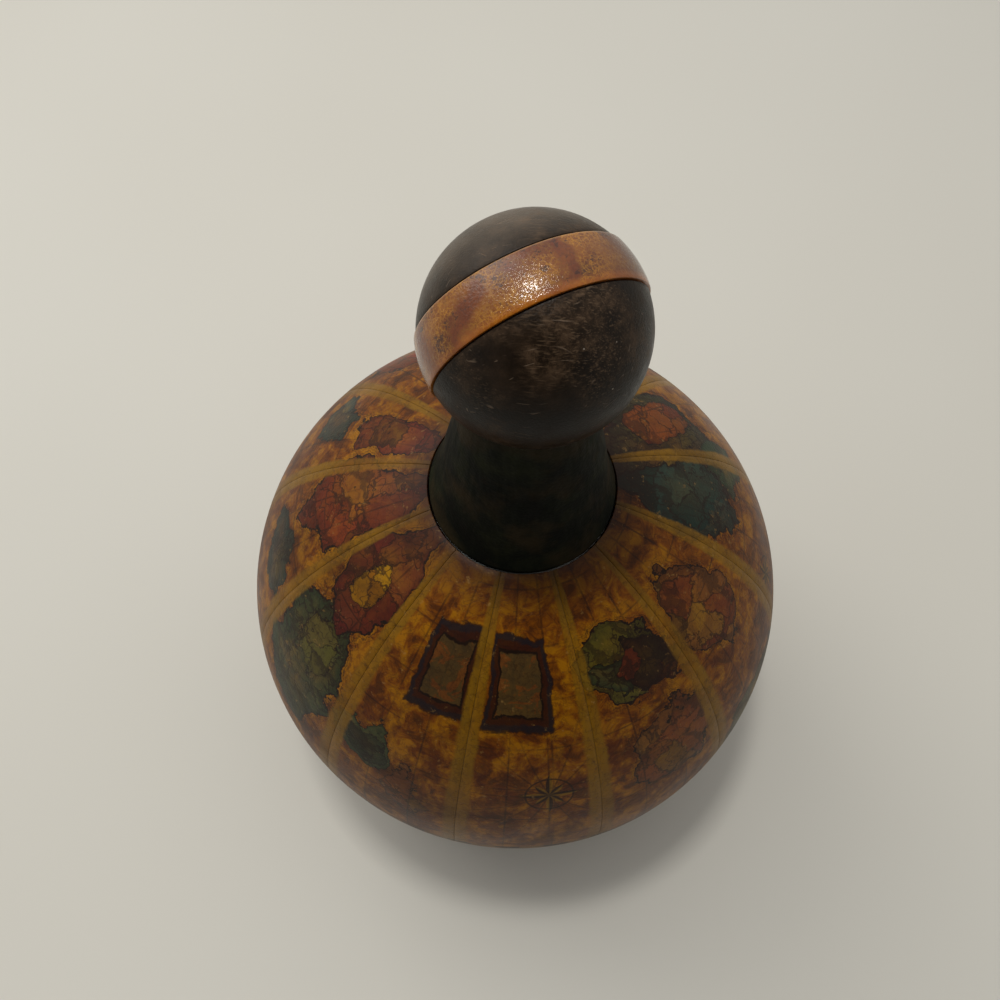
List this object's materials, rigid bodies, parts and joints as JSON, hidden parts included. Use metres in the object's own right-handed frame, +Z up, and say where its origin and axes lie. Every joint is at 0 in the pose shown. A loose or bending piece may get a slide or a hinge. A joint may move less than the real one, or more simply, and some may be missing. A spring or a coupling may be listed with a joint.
{
  "type": "globe decanter",
  "caption": "Round glass decanter covered in printed globe gores, with a leather cone neck and a leather ball stopper on a cork that pulls out and turns.",
  "frame": {"origin": "middle of the base pad's underside, on the surface that the decanter stands on", "axes": "+Z up through the neck's axis; the stopper's band shows towards -Y, the side of the picture"},
  "size_m": [0.1494, 0.1494, 0.2269],
  "materials": {
    "glass": "clear blown glass, smooth",
    "printed_gores": "printed thin leather under satin varnish",
    "neck_leather": "near-black green leather, satin",
    "base_leather": "dark brown leather, matt",
    "cork": "natural cork",
    "beech": "plain beech",
    "stained_wood": "turned wood, dark stain",
    "cap_leather": "very dark brown leather, scuffed and waxed",
    "band_leather": "tan leather, mottled, crackled varnish"
  },
  "bodies": {
    "bottle": {"glass_flask": "glass", "gore_01": "printed_gores", "gore_02": "printed_gores", "gore_03": "printed_gores", "gore_04": "printed_gores", "gore_05": "printed_gores", "gore_06": "printed_gores", "gore_07": "printed_gores", "gore_08": "printed_gores", "gore_09": "printed_gores", "gore_10": "printed_gores", "gore_11": "printed_gores", "gore_12": "printed_gores", "neck_sleeve": "neck_leather", "base_pad": "base_leather"},
    "cork": {"stopper_cork": "cork"},
    "ball": {"ball_core": "stained_wood", "stopper_dowel": "beech", "ball_cap_front": "cap_leather", "ball_cap_back": "cap_leather", "ball_band": "band_leather"}
  },
  "joints": [
    {"name": "stopper_pull", "type": "slide", "parent": "bottle", "child": "cork", "axis": [0, 0, 1], "range_m": [0, 0.04]},
    {"name": "stopper_twist", "type": "hinge", "parent": "cork", "child": "ball", "pos_m": [0, 0, 0.18945], "axis": [0, 0, 1], "continuous": true}
  ]
}
